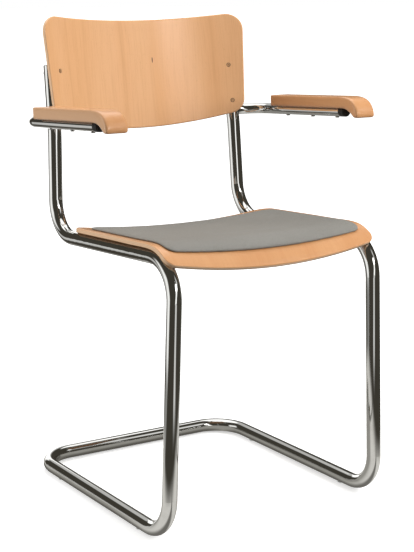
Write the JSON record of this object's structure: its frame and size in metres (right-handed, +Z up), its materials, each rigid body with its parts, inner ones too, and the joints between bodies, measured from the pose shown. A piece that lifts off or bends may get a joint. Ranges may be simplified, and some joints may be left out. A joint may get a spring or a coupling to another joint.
{
  "type": "cantilever chair",
  "caption": "Cantilever armchair with a bent chromed tube frame, moulded plywood seat and backrest, a thin seat pad and wooden arm pads on short side tubes.",
  "frame": {"origin": "on the floor, at the middle of the bounding box seen from above", "axes": "+Z up, -Y the way the sitter faces, +X to the right of a viewer who faces the chair's front"},
  "size_m": [0.542, 0.505, 0.8427],
  "materials": {
    "chrome": "polished chrome plate",
    "steel": "zinc plated",
    "beech": "clear satin lacquer on beech veneer and solid beech",
    "pad_leather": "smooth warm grey",
    "black_plastic": "matt black",
    "glide_plastic": "pale grey nylon"
  },
  "bodies": {
    "root": {"arm_bolt_left": "steel", "arm_bolt_right": "steel", "arm_insert_left": "steel", "arm_insert_right": "steel", "arm_pad_left": "beech", "arm_pad_right": "beech", "arm_plug_left": "black_plastic", "arm_plug_right": "black_plastic", "arm_screws_left": "steel", "arm_screws_right": "steel", "arm_tube_left": "chrome", "arm_tube_right": "chrome", "back_nuts": "steel", "back_screws": "steel", "back_spacers": "black_plastic", "backrest": "beech", "frame_tube": "chrome", "front_glide_left": "glide_plastic", "front_glide_right": "glide_plastic", "rear_glide_left": "glide_plastic", "rear_glide_right": "glide_plastic", "seat_inserts": "steel", "seat_pad": "pad_leather", "seat_screws": "steel", "seat_shell": "beech", "upright_cap_left": "chrome", "upright_cap_right": "chrome"}
  },
  "joints": []
}
